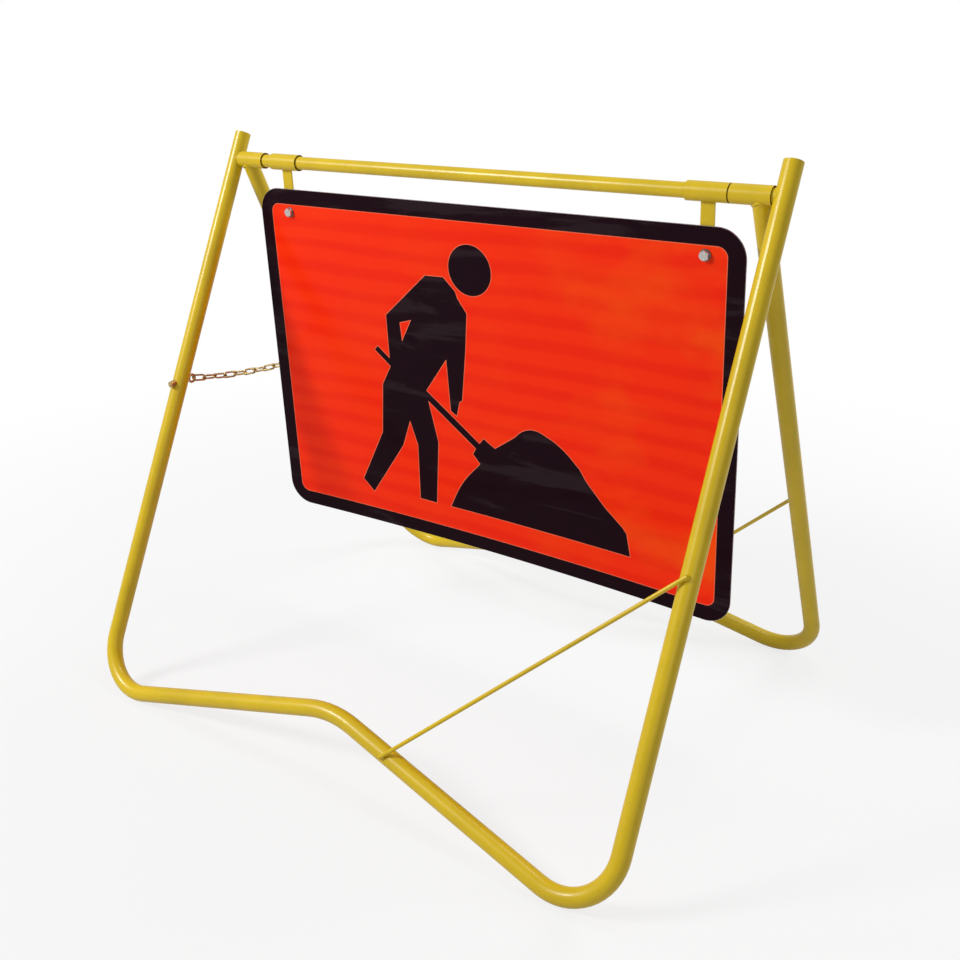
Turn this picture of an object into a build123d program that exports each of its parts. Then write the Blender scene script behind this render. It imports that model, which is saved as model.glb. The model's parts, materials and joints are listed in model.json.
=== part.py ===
from build123d import *
import os
from math import atan2, copysign, cos, pi, radians, sin, tan

os.makedirs("parts", exist_ok=True)

# Driving dimensions in millimetres and degrees

# Bent tube frames: the front legs stand wider than the sign, and the rear legs inside the front ones
# A leg's length runs from the crossbar's axis to its foot's lowest centre line
leg_tube_diameter = 26.9
leg_tube_wall = 2.3
sign_to_front_leg_distance = 49.3
rear_leg_inset = 31.1
frame_lean = 25.2
leg_length = 937.9
leg_above_bar = 46.6
rail_rise = 129.7
foot_bend_radius = 80.0
apex_bend_radius = 175.0

# Crossbar and the sleeves that turn on it
crossbar_diameter = 21.3
crossbar_wall = 2.0
sleeve_diameter = 26.9
sleeve_running_clearance = 0.5
rear_sleeve_length = 57.0
rear_sleeve_end_gap = 1.25
hanger_sleeve_length = 61.0

# Hanger straps
strap_width = 20.0
strap_thickness = 3.0
strap_turning_gap = 0.3
strap_below_bolt = 12.0
strap_corner_radius = 6.0
bolt_below_bar = 84.0

# Sign plate
sign_width = 900.0
sign_height = 600.0
sign_thickness = 1.6
sign_corner_radius = 43.0
sign_shift = 3.5
sign_below_bar = 44.7
sign_tilt = -3.33
sign_bow = 18.0
sign_flat_band = 70.0
left_bolt_inset = 68.5
right_bolt_inset = 58.5

# Bolts, washers and lock nuts of the sign
bolt_diameter = 8.0
bolt_hole_clearance = 0.5
bolt_head_flats = 13.0
bolt_head_height = 5.3
bolt_beyond_nut = 2.0
washer_diameter = 17.0
washer_thickness = 1.6
lock_nut_height = 8.0

# Stop rods
stop_rod_diameter = 6.0
stop_rod_end_overrun = 2.5
front_rod_leg_distance = 497.0
front_rod_rail_position = 117.5
rear_rod_leg_distance = 553.0
rear_rod_rail_position = 156.0

# Restraint chain
link_wire_diameter = 3.5
link_inner_length = 24.4
link_inner_width = 6.0
link_play = 0.5
link_twist = 45.0
link_twist_step = 9.0
chain_sag = 7.6
wire_sides = 6
bend_facets = 6

# Eye bolt at the front end of the chain
front_anchor_distance = 404.0
eye_wire_diameter = 4.5
eye_inner_radius = 4.25
eye_stand_off = 26.0
eye_play = 0.25
eye_facets = 12
eye_shank_diameter = 6.0
eye_hole_clearance = 0.3
saddle_washer_diameter = 12.0
saddle_washer_edge = 0.6
eye_nut_flats = 10.0
eye_nut_height = 5.0
eye_thread_beyond_nut = 1.5

# Hook at the rear end of the chain
rear_anchor_distance = 432.0
hook_hole_diameter = 8.0
hook_wire_diameter = 3.5
hook_play = 0.4
hook_corner_radius = 5.0
hook_nose = 4.0
hook_tip_reach = 6.0
hook_tip_gap = 0.4
hook_arm_minimum = 7.0

# Derived places

leg_radius = leg_tube_diameter / 2
leg_bore_radius = leg_radius - leg_tube_wall
sleeve_radius = sleeve_diameter / 2
front_leg_spacing = sign_width + 2 * sign_to_front_leg_distance
rear_leg_spacing = front_leg_spacing - 2 * rear_leg_inset
front_leg_x = front_leg_spacing / 2
rear_leg_x = rear_leg_spacing / 2
lean = radians(frame_lean)


def bend_tangent(half_spacing):
    """Distance from a foot's sharp corner back to where its bend starts."""
    turn = pi / 2 + atan2(rail_rise, half_spacing)
    return foot_bend_radius * tan(turn / 2)


def corner_depth(half_spacing):
    """Distance down a leg to the sharp corner that its foot's bend rounds off."""
    return leg_length - foot_bend_radius + bend_tangent(half_spacing)


def rail_depth(half_spacing, x):
    """Distance down a frame of its bottom rail's centre line at x, bends aside."""
    return corner_depth(half_spacing) - rail_rise * (1 - abs(x) / half_spacing)


bar_height = leg_length * cos(lean) + leg_radius


def leaning_plane(angle):
    """Plane through the bar's axis: Y runs up a leg that leans by angle, Z faces the front."""
    return Plane(
        origin=(0, 0, bar_height),
        x_dir=(1, 0, 0),
        z_dir=(0, -cos(radians(angle)), sin(radians(angle))),
    )


front_plane = leaning_plane(frame_lean)
rear_plane = leaning_plane(-frame_lean)
sign_plane = leaning_plane(sign_tilt)
bar_plane = Plane(origin=(0, 0, bar_height), x_dir=(0, 1, 0), z_dir=(1, 0, 0))


def place(plane, x, down, forward=0.0):
    """Point at x and a distance down a leaning plane, moved forward off it."""
    return plane.from_local_coords(Vector(x, -down, forward))


def down_plane(plane, down):
    """Plane square to the legs, a distance down them, whose Z runs on down."""
    return Plane(origin=place(plane, 0, down), x_dir=(1, 0, 0), z_dir=-plane.y_dir)


def write(block, name):
    block.part.label = name
    export_step(block.part, f"parts/{name}.step")


# Front frame: one bent tube, open at its leg tops and bored down to its foot bends

front_anchor = place(front_plane, -front_leg_x, front_anchor_distance)
front_anchor_plane = Plane(origin=front_anchor, x_dir=(1, 0, 0), z_dir=(0, -1, 0))
front_legs = [(-front_leg_x, 0), (front_leg_x, 0)]
front_corner = corner_depth(front_leg_x)

with BuildPart() as front_frame:
    with BuildLine(front_plane) as front_route:
        FilletPolyline(
            (-front_leg_x, leg_above_bar),
            (-front_leg_x, -front_corner),
            (0, rail_rise - front_corner),
            (front_leg_x, -front_corner),
            (front_leg_x, leg_above_bar),
            radius=[foot_bend_radius, apex_bend_radius, foot_bend_radius],
        )
    with BuildSketch(Plane(origin=front_route.line @ 0, z_dir=front_route.line % 0)):
        Circle(leg_radius)
    sweep(path=front_route.line)
    with BuildSketch(down_plane(front_plane, -leg_above_bar)):
        with Locations(*front_legs):
            Circle(leg_bore_radius)
    extrude(amount=leg_above_bar + leg_length - foot_bend_radius, mode=Mode.SUBTRACT)
    with BuildSketch(front_anchor_plane):
        Circle(eye_shank_diameter / 2 + eye_hole_clearance)
    extrude(amount=leg_tube_diameter, both=True, mode=Mode.SUBTRACT)
write(front_frame, "front_frame")

# Crossbar: its ends are coped to the front legs

with BuildPart() as crossbar:
    with BuildSketch(bar_plane):
        Circle(crossbar_diameter / 2)
        Circle(crossbar_diameter / 2 - crossbar_wall, mode=Mode.SUBTRACT)
    extrude(amount=front_leg_x, both=True)
    with BuildSketch(down_plane(front_plane, 0)):
        with Locations(*front_legs):
            Circle(leg_radius)
    extrude(amount=2 * leg_tube_diameter, both=True, mode=Mode.SUBTRACT)
write(crossbar, "crossbar")

# Rear frame: the second bent tube, closed at its leg tops by the sleeves it is coped to

rear_anchor = place(rear_plane, -rear_leg_x, rear_anchor_distance)
rear_corner = corner_depth(rear_leg_x)

with BuildPart() as rear_frame:
    with BuildLine(rear_plane) as rear_route:
        FilletPolyline(
            (-rear_leg_x, 0),
            (-rear_leg_x, -rear_corner),
            (0, rail_rise - rear_corner),
            (rear_leg_x, -rear_corner),
            (rear_leg_x, 0),
            radius=[foot_bend_radius, apex_bend_radius, foot_bend_radius],
        )
    with BuildSketch(Plane(origin=rear_route.line @ 0, z_dir=rear_route.line % 0)):
        Circle(leg_radius)
    sweep(path=rear_route.line)
    with BuildSketch(bar_plane):
        Circle(sleeve_radius)
    extrude(amount=front_leg_spacing, both=True, mode=Mode.SUBTRACT)
    with BuildSketch(Plane(origin=rear_anchor, z_dir=(-1, 0, 0))):
        Circle(hook_hole_diameter / 2)
    extrude(amount=leg_tube_diameter, mode=Mode.SUBTRACT)
write(rear_frame, "rear_frame")

# Sleeves on the crossbar: a pair for the rear legs, and a pair for the hanger straps

rear_sleeve_x = front_leg_x - leg_radius - rear_sleeve_end_gap - rear_sleeve_length / 2
hanger_x = {
    "left": sign_shift - sign_width / 2 + left_bolt_inset,
    "right": sign_shift + sign_width / 2 - right_bolt_inset,
}


def bar_sleeves(centres, length):
    """Plain tubes of one length that turn on the crossbar."""
    with BuildPart() as sleeves:
        for centre_x in centres:
            with BuildSketch(bar_plane.offset(centre_x)):
                Circle(sleeve_radius)
                Circle(crossbar_diameter / 2 + sleeve_running_clearance, mode=Mode.SUBTRACT)
            extrude(amount=length / 2, both=True)
    return sleeves


write(bar_sleeves((-rear_sleeve_x, rear_sleeve_x), rear_sleeve_length), "rear_sleeves")
write(bar_sleeves(hanger_x.values(), hanger_sleeve_length), "hanger_sleeves")

# Hanger straps: flat bar coped to the sleeve above, rounded below its bolt hole

strap_length = bolt_below_bar + strap_below_bolt
bolt_hole_radius = bolt_diameter / 2 + bolt_hole_clearance

for side, x in hanger_x.items():
    with BuildPart() as hanger_strap:
        with BuildSketch(sign_plane) as strap_outline:
            with Locations((x, -strap_length / 2)):
                Rectangle(strap_width, strap_length)
            lower_corners = strap_outline.vertices().sort_by(Axis.Y)[:2]
            fillet(lower_corners, radius=strap_corner_radius)
            with Locations((x, -bolt_below_bar)):
                Circle(bolt_hole_radius, mode=Mode.SUBTRACT)
        extrude(amount=strap_thickness / 2, both=True)
        with BuildSketch(bar_plane):
            Circle(sleeve_radius + strap_turning_gap)
        extrude(amount=front_leg_x, both=True, mode=Mode.SUBTRACT)
    write(hanger_strap, f"hanger_strap_{side}")

# Sign plate: flat along its top, then bowed back more and more towards its lower edge

plate_rear = strap_thickness / 2
plate_front = plate_rear + sign_thickness
plate_bottom = sign_below_bar + sign_height
bolt_spots = [(x, -bolt_below_bar) for x in hanger_x.values()]
blank_margin = sign_corner_radius / 4
blank_half = sign_width / 2 + blank_margin


def across_plate(down):
    """Plane that cuts the sign plate from side to side; its Y runs to the front."""
    return Plane(
        origin=place(sign_plane, sign_shift, down),
        x_dir=(1, 0, 0),
        z_dir=-sign_plane.y_dir,
    )


with BuildPart() as sign_plate:
    for down in (sign_below_bar - blank_margin, sign_below_bar + sign_flat_band):
        with BuildSketch(across_plate(down)):
            with Locations((0, plate_rear + sign_thickness / 2)):
                Rectangle(2 * blank_half, sign_thickness)
    with BuildSketch(across_plate(plate_bottom + blank_margin)):
        with BuildLine():
            ThreePointArc(
                (-blank_half, plate_front), (0, plate_front - sign_bow), (blank_half, plate_front)
            )
            Line((blank_half, plate_front), (blank_half, plate_rear))
            ThreePointArc(
                (blank_half, plate_rear), (0, plate_rear - sign_bow), (-blank_half, plate_rear)
            )
            Line((-blank_half, plate_rear), (-blank_half, plate_front))
        make_face()
    loft(ruled=True)
    with BuildSketch(sign_plane):
        with Locations((sign_shift, -sign_below_bar - sign_height / 2)):
            RectangleRounded(sign_width, sign_height, sign_corner_radius)
    extrude(amount=2 * sign_bow + plate_front, both=True, mode=Mode.INTERSECT)
    with BuildSketch(sign_plane):
        with Locations(*bolt_spots):
            Circle(bolt_hole_radius)
    extrude(amount=sign_bow + plate_front, both=True, mode=Mode.SUBTRACT)
write(sign_plate, "sign_plate")

# Sign bolts, front washers and lock nuts, a pair of each

with BuildPart() as sign_bolts:
    with BuildSketch(sign_plane.offset(plate_front + washer_thickness)):
        with Locations(*bolt_spots):
            RegularPolygon(bolt_head_flats / 2, 6, major_radius=False)
    extrude(amount=bolt_head_height)
    with BuildSketch(sign_plane.offset(plate_front + washer_thickness)):
        with Locations(*bolt_spots):
            Circle(bolt_diameter / 2)
    shank_length = washer_thickness + plate_front + plate_rear + lock_nut_height + bolt_beyond_nut
    extrude(amount=-shank_length)
write(sign_bolts, "sign_bolts")

with BuildPart() as sign_front_washers:
    with BuildSketch(sign_plane.offset(plate_front)):
        with Locations(*bolt_spots):
            Circle(washer_diameter / 2)
            Circle(bolt_hole_radius, mode=Mode.SUBTRACT)
    extrude(amount=washer_thickness)
write(sign_front_washers, "sign_front_washers")

with BuildPart() as sign_lock_nuts:
    with BuildSketch(sign_plane.offset(-plate_rear)):
        with Locations(*bolt_spots):
            RegularPolygon(bolt_head_flats / 2, 6, major_radius=False)
            Circle(bolt_diameter / 2, mode=Mode.SUBTRACT)
    extrude(amount=-lock_nut_height)
write(sign_lock_nuts, "sign_lock_nuts")

# Stop rods: one across the outer face of each frame, from its right leg to its rail


def stop_rod(plane, forward, leg_x, leg_distance, rail_x):
    """A round rod that lies on a leg and on the rail, and ends a little beyond each."""
    top = place(plane, leg_x, leg_distance, forward)
    low = place(plane, rail_x, rail_depth(leg_x, rail_x), forward)
    run = (low - top).normalized()
    with BuildPart() as rod:
        with BuildSketch(Plane(origin=top - run * stop_rod_end_overrun, z_dir=run)):
            Circle(stop_rod_diameter / 2)
        extrude(amount=(low - top).length + 2 * stop_rod_end_overrun)
    return rod


rod_offset = leg_radius + stop_rod_diameter / 2
front_stop_rod = stop_rod(
    front_plane, rod_offset, front_leg_x, front_rod_leg_distance, front_rod_rail_position
)
write(front_stop_rod, "front_stop_rod")
rear_stop_rod = stop_rod(
    rear_plane, -rod_offset, rear_leg_x, rear_rod_leg_distance, rear_rod_rail_position
)
write(rear_stop_rod, "rear_stop_rod")

# Bent wire: short straight runs with mitred corners, for the links, the eye and the hook


def arc_points(centre_x, centre_y, radius, start, end, facets):
    """Points along an arc, from one angle to another in degrees."""
    angles = [radians(start + (end - start) * step / facets) for step in range(facets + 1)]
    return [(centre_x + radius * cos(angle), centre_y + radius * sin(angle)) for angle in angles]


def bent_wire(plane, points, wire_diameter, closed=False):
    """A wire of one thickness along a route drawn on a plane."""
    with BuildPart() as wire:
        with BuildLine(plane) as route:
            Polyline(*points, close=closed)
        with BuildSketch(Plane(origin=route.line @ 0, z_dir=route.line % 0)):
            RegularPolygon(wire_diameter / 2, wire_sides)
        sweep(path=route.line, transition=Transition.RIGHT)
    return wire.part


# Eye bolt through the front left leg, with a saddle washer and a nut in front

eye_centre = front_anchor + Vector(0, eye_stand_off, 0)
eye_ring_radius = eye_inner_radius + eye_wire_diameter / 2
washer_slope = saddle_washer_diameter / 2 * tan(lean)
nut_seat = leg_radius / cos(lean) + washer_slope + saddle_washer_edge
thread_end = nut_seat + eye_nut_height + eye_thread_beyond_nut

half_facet = 180 / eye_facets
ring_outline = [
    (eye_ring_radius * cos(radians(half_facet)), 0),
    *arc_points(0, 0, eye_ring_radius, half_facet, 360 - half_facet, eye_facets - 1),
]
ring_plane = Plane(origin=eye_centre, x_dir=(0, 1, 0), z_dir=(1, 0, 0))
eye_ring = bent_wire(ring_plane, ring_outline, eye_wire_diameter, closed=True)

with BuildPart() as chain_eye_bolt:
    add(eye_ring)
    with BuildSketch(front_anchor_plane.offset(eye_ring_radius - eye_stand_off)):
        Circle(eye_shank_diameter / 2)
    extrude(amount=thread_end + eye_stand_off - eye_ring_radius)
write(chain_eye_bolt, "chain_eye_bolt")

with BuildPart() as chain_saddle_washer:
    with BuildSketch(front_anchor_plane):
        Circle(saddle_washer_diameter / 2)
        Circle(eye_shank_diameter / 2 + eye_hole_clearance, mode=Mode.SUBTRACT)
    extrude(amount=nut_seat)
    with BuildSketch(down_plane(front_plane, 0)):
        with Locations(*front_legs):
            Circle(leg_radius)
    extrude(amount=leg_length, mode=Mode.SUBTRACT)
write(chain_saddle_washer, "chain_saddle_washer")

with BuildPart() as chain_eye_nut:
    with BuildSketch(front_anchor_plane.offset(nut_seat)):
        RegularPolygon(eye_nut_flats / 2, 6, major_radius=False)
        Circle(eye_shank_diameter / 2, mode=Mode.SUBTRACT)
    extrude(amount=eye_nut_height)
write(chain_eye_nut, "chain_eye_nut")

# Chain: links in a shallow hanging curve, each turned a quarter turn from the last

link_wire_radius = link_wire_diameter / 2
link_pitch = link_inner_length - link_play
link_length = link_inner_length + link_wire_diameter
link_end_radius = (link_inner_width + link_wire_diameter) / 2
link_straight = link_length - 2 * link_end_radius

chain_start = eye_centre + Vector(0, eye_inner_radius - link_wire_radius - eye_play, 0)
room_for_links = rear_anchor.Y - chain_start.Y - hook_arm_minimum - link_length
link_count = 1 + int(room_for_links / link_pitch)


def link_turn(index):
    """Angle of a link about the chain, settling from flat at the eye to its usual slant."""
    return min(link_twist, index * link_twist_step) - 90 * (index % 2)


last_turn = radians(link_turn(link_count - 1))
hook_side = Vector(abs(sin(last_turn)), 0, -copysign(cos(last_turn), sin(last_turn)))
tip_x = -rear_leg_x - leg_radius - hook_tip_gap - hook_wire_diameter / 2 * cos(last_turn)
chain_end = Vector(tip_x, rear_anchor.Y, rear_anchor.Z) - hook_side * hook_tip_reach
chain_chord = chain_end - chain_start


def chain_point(distance):
    """Point on the chain's hanging curve, at a distance along its chord."""
    share = distance / chain_chord.length
    return chain_start + chain_chord * share - Vector(0, 0, 4 * chain_sag * share * (1 - share))


def link_plane(index):
    """Plane of one link: X along the chain, Y across the link."""
    middle = link_length / 2 + index * link_pitch
    behind = chain_point(middle - link_length / 2)
    ahead = chain_point(middle + link_length / 2)
    along = (ahead - behind).normalized()
    side = along.cross(Vector(0, 0, 1)).normalized()
    turn = radians(link_turn(index))
    normal = Vector(0, 0, 1) * cos(turn) - side * sin(turn)
    normal = (normal - along * normal.dot(along)).normalized()
    return Plane(origin=(ahead + behind) / 2, x_dir=along, z_dir=normal)


half_straight = link_straight / 2
link_outline = [
    (0, -link_end_radius),
    *arc_points(half_straight, 0, link_end_radius, -90, 90, bend_facets),
    *arc_points(-half_straight, 0, link_end_radius, 90, 270, bend_facets),
]
chain_link = bent_wire(Plane.XY, link_outline, link_wire_diameter, closed=True)

with BuildPart() as chain_links:
    with Locations(*[link_plane(index) for index in range(link_count)]):
        add(chain_link)
write(chain_links, "chain_links")

# Hook: a wire that goes round the last link's end and points at the hole in the rear leg

link_end = chain_point(link_length + (link_count - 1) * link_pitch)
hook_arm = (chain_end - link_end).length
hook_bend_radius = link_wire_radius + hook_wire_diameter / 2 + hook_play
hook_axis = (chain_end - link_end).normalized()
hook_corner = (hook_arm - hook_corner_radius, hook_corner_radius - hook_bend_radius)
hook_outline = [
    (hook_nose, hook_bend_radius),
    *arc_points(0, 0, hook_bend_radius, 90, 270, bend_facets),
    *arc_points(*hook_corner, hook_corner_radius, -90, 0, bend_facets // 2),
    (hook_arm, hook_tip_reach),
]
hook_plane = Plane(origin=link_end, x_dir=hook_axis, z_dir=hook_axis.cross(hook_side))
hook_wire = bent_wire(hook_plane, hook_outline, hook_wire_diameter)

with BuildPart() as chain_hook:
    add(hook_wire)
write(chain_hook, "chain_hook")
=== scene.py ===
import json
from math import atan2, copysign, cos, hypot, pi, radians, sin, sqrt, tan

import bpy
from bpy.props import FloatProperty, FloatVectorProperty, IntProperty, PointerProperty
from mathutils import Matrix, Vector


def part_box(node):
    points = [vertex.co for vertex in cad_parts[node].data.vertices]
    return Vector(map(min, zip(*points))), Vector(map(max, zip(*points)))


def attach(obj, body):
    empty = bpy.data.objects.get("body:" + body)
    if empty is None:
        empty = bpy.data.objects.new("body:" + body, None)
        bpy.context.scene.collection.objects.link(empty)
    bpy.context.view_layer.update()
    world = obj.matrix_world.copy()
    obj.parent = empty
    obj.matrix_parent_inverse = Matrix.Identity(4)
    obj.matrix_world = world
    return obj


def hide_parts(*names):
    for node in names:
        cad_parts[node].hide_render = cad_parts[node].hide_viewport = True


bl_info = {
    "name": "Roadworks Sign Frame",
    "version": (1, 0, 0),
    "blender": (4, 5, 0),
    "location": "3D View > Sidebar > Sign Frame",
    "description": "Paint, sign face, fixings and chain of a folding roadworks sign frame",
    "category": "Object",
}

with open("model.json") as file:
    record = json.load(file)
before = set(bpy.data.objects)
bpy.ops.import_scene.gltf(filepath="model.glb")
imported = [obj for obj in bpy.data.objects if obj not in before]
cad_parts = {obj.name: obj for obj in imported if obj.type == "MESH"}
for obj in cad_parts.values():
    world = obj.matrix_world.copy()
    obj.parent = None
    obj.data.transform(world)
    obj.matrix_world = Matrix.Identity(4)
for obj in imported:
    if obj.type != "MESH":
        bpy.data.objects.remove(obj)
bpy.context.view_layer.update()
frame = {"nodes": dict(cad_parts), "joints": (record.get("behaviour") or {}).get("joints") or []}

MM = 0.001

# Places read from the frame

bar_low, bar_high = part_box("crossbar")
BAR = Vector((0, 0, (bar_low.z + bar_high.z) / 2))
BAR_RADIUS = (bar_high.z - bar_low.z) / 2
sleeve_low, sleeve_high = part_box("rear_sleeves")
TUBE_RADIUS = (sleeve_high.z - sleeve_low.z) / 2
leg_low, leg_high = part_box("front_frame")
FRONT_LEG_X = (leg_high.x - leg_low.x) / 2 - TUBE_RADIUS
rear_low, rear_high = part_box("rear_frame")
REAR_LEG_X = (rear_high.x - rear_low.x) / 2 - TUBE_RADIUS
strap_left_low, strap_left_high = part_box("hanger_strap_left")
strap_right_low, strap_right_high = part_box("hanger_strap_right")
STRAP_HALF_WIDTH = (strap_left_high.x - strap_left_low.x) / 2
BOLT_X = {
    "left": (strap_left_low.x + strap_left_high.x) / 2,
    "right": (strap_right_low.x + strap_right_high.x) / 2,
}
plate_low, plate_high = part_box("sign_plate")
SIGN_SHIFT = (plate_low.x + plate_high.x) / 2
pivots = {joint["name"]: Vector(joint["pos_m"]) for joint in frame["joints"]}
EYE = pivots["chain_swing"]


# Sizes and colours that a user would change


def size(name, description, default):
    """A length in metres."""
    return FloatProperty(
        name=name, description=description, default=default, min=0.0, unit="LENGTH", precision=5
    )


def angle(name, description, degrees):
    """An angle, given in degrees."""
    return FloatProperty(name=name, description=description, default=radians(degrees), unit="ROTATION")


def share(name, description, default):
    """A share of one."""
    return FloatProperty(name=name, description=description, default=default, min=0.0, max=1.0)


def colour(name, description, default):
    """A linear colour."""
    return FloatVectorProperty(
        name=name, description=description, default=default, size=3, min=0.0, max=1.0, subtype="COLOR"
    )


class FrameSettings(bpy.types.PropertyGroup):
    lean: angle("Lean", "Lean of each leg from upright", 25.2)
    paint: colour("Paint", "Golden yellow powder coat", (0.66, 0.459, 0.007))
    primer: colour("Worn Paint", "Darker paint where it has been rubbed", (0.52, 0.33, 0.02))
    speck: colour("Specks", "Small dark specks in the paint", (0.16, 0.1, 0.02))
    bead: size("Weld Bead", "Radius of the bead round a rear leg's top", 1.5 * MM)
    bar_bead: size("Bar Bead", "Radius of the bead round the crossbar", 1.1 * MM)
    bead_fillet: size("Bead Fillet", "How far the bead rounds the notch of a coped tube", 4 * MM)
    front_rod_leg: size("Front Rod Leg", "From the bar down the leg to the front rod", 497 * MM)
    front_rod_rail: size("Front Rod Rail", "From the centre to the front rod's rail end", 117.5 * MM)
    rear_rod_leg: size("Rear Rod Leg", "From the bar down the leg to the rear rod", 553 * MM)
    rear_rod_rail: size("Rear Rod Rail", "From the centre to the rear rod's rail end", 156 * MM)
    leg_length: size("Leg Length", "From the bar down a leg to its foot", 937.9 * MM)
    rail_rise: size("Rail Rise", "Rise of the bottom rail to its middle", 129.7 * MM)
    foot_bend: size("Foot Bend", "Centre line radius of a foot's bend", 80 * MM)


class SleeveSettings(bpy.types.PropertyGroup):
    rear_length: size("Rear Sleeve", "Length of a rear leg's sleeve", 57 * MM)
    hanger_length: size("Hanger Sleeve", "Length of a hanger's sleeve", 61 * MM)
    # The dark ring at each sleeve's end is painted shade of the gap round the bar, with a little rust in its
    # colour
    clear: size("Clear", "Gap between the bar and the bare ring", 0.55 * MM)
    shade_ring: size("Bare Ring", "Width of the bare ring at a sleeve's end", 1.7 * MM)
    lift: size("Lift", "How far the ring stands off the sleeve's end", 0.12 * MM)
    sunk: size("Sunk", "How far the ring reaches into the sleeve", 0.3 * MM)
    # Dark colour of that ring: painted shade of the gap, not bare steel
    gap_shade: colour("Bare Steel", "Dark bare steel at a sleeve's end", (0.035, 0.017, 0.009))
    rust: colour("Rust", "Rust on the bare steel", (0.11, 0.04, 0.014))


class SignSettings(bpy.types.PropertyGroup):
    width: size("Width", "Width of the sign plate", 900 * MM)
    height: size("Height", "Height of the sign plate", 600 * MM)
    thickness: size("Thickness", "Thickness of the sign plate", 1.6 * MM)
    corner: size("Corner", "Corner radius of the plate", 43 * MM)
    below_bar: size("Below Bar", "From the bar's axis down to the plate", 44.7 * MM)
    forward: size("Forward", "From the plane of the bar to the plate's rear face", 1.5 * MM)
    tilt: angle("Tilt", "Lean of the hanging plate", 3.33)
    flat_band: size("Flat Band", "Height of the flat band along the plate's top", 70 * MM)
    bow: size("Bow", "Backward bow at the middle of the plate's lower edge", 18 * MM)
    bow_margin: size("Bow Margin", "How far the bowed blank ran past the plate", 10.75 * MM)
    bare_edge: size("Bare Edge", "Bare metal left around the film", 0.3 * MM)
    border: size("Border", "Width of the black border", 25.5 * MM)
    border_corner: size("Border Corner", "Radius of the border's inner corners", 16 * MM)
    film: size("Film", "Thickness of each film", 0.15 * MM)
    # The pale rim along the black film's edges is a painted highlight
    highlight_rim: size("Cut Line", "Pale line where a film has been cut", 1.1 * MM)
    score: size("Score", "Spacing of the cuts that let a film follow the bow", 25 * MM)
    red: colour("Film Red", "Red-orange reflective film", (0.90, 0.027, 0.003))
    # The film between its ripples is darkened as painted shade
    red_ripple_shade: colour("Film Red Deep", "Film between its ripples", (0.83, 0.014, 0.002))
    # Paler patches of the film are painted reflection
    red_reflection: colour("Film Red Warm", "Paler patches of the film", (0.90, 0.0729, 0.003))
    # Colour of the painted highlight rim
    pale: colour("Cut Line Colour", "Paler film along a cut", (0.92, 0.17, 0.075))
    black: colour("Film Black", "Black overlay film", (0.0115, 0.0035, 0.0065))
    # Paler streaks on the black film are painted reflection
    black_reflection: colour("Film Dust", "Dusty streaks on the black film", (0.024, 0.014, 0.017))


class FixingSettings(bpy.types.PropertyGroup):
    down: size("Down", "From the bar's axis down to the bolts", 84 * MM)
    flats: size("Flats", "Across the flats of a bolt head or lock nut", 13 * MM)
    head: size("Head", "Height of a bolt head", 5.3 * MM)
    shank: size("Shank", "Diameter of a bolt", 8 * MM)
    washer: size("Washer", "Diameter of a washer", 17 * MM)
    washer_thick: size("Washer Thickness", "Thickness of a washer", 1.6 * MM)
    washer_edge: size("Washer Edge", "Bevel of a washer's edge", 0.25 * MM)
    nut: size("Lock Nut", "Height of a lock nut", 8 * MM)
    beyond: size("Thread End", "Thread beyond the lock nut", 2 * MM)
    zinc: colour("Bright Zinc", "Plated steel of the bolts", (0.86, 0.83, 0.81))
    grey: colour("Grey Zinc", "Duller plate of the bolts", (0.55, 0.51, 0.49))
    # The washers' dark plate is painted shade round the bolt heads, on dull zinc
    washer_shade: colour("Washer Zinc", "Weathered plate of the washers", (0.25, 0.21, 0.2))
    washer_deep_shade: colour("Washer Grey", "Darkest plate of the washers", (0.12, 0.09, 0.08))


class ChainSettings(bpy.types.PropertyGroup):
    wire: size("Wire", "Diameter of the link wire", 3.5 * MM)
    inner_length: size("Inner Length", "Length inside a link", 24.4 * MM)
    inner_width: size("Inner Width", "Width inside a link", 6 * MM)
    play: size("Play", "Play between two links", 0.5 * MM)
    sag: size("Sag", "Sag of the chain at its middle", 10.5 * MM)
    links: IntProperty(name="Links", description="Number of links", default=13, min=2)
    slant: angle("Slant", "Slant of the links along most of the chain", -15)
    eye_slant: angle("Eye Slant", "Slant of the link in the eye", -60)
    hook_slant: angle("Hook Slant", "Slant of the link in the hook", 45)
    twisted: IntProperty(
        name="Twisted Links", description="Links that twist at each end of the chain", default=3, min=1
    )
    first: size("First", "From the eye's centre to the chain's start", 2.25 * MM)
    end: FloatVectorProperty(
        name="End",
        description="Middle of the hook's bend into the rear leg",
        default=(-487.53 * MM, 183.937 * MM, 475.445 * MM),
        unit="LENGTH",
        precision=5,
    )
    ring: size("Eye Ring", "Centre line radius of the eye", 6.5 * MM)
    ring_wire: size("Eye Wire", "Diameter of the eye's wire", 4.5 * MM)
    stand_off: size("Stand-off", "From the leg's axis to the eye's centre", 26 * MM)
    shank: size("Eye Shank", "Diameter of the eye bolt's shank", 6 * MM)
    nut_seat: size("Nut Seat", "From the leg's axis forward to the nut", 18.3 * MM)
    nut: size("Eye Nut", "Height of the eye nut", 5 * MM)
    nut_flats: size("Eye Nut Flats", "Across the flats of the eye nut", 10 * MM)
    thread: size("Eye Thread", "Thread beyond the eye nut", 1.5 * MM)
    hook_bend: size("Hook Bend", "Centre line radius of the hook's bend", 3.9 * MM)
    hook_corner: size("Hook Corner", "Centre line radius of the hook's corner", 5 * MM)
    hook_nose: size("Hook Nose", "Length of the hook's nose", 4 * MM)
    hook_tip: size("Hook Tip", "Reach of the hook's tip", 6 * MM)
    yellow: colour("Yellow Zinc", "Passivated zinc of the chain", (0.56, 0.41, 0.17))
    brown: colour("Dull Zinc", "Browned zinc in the crevices", (0.24, 0.13, 0.055))


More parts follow.
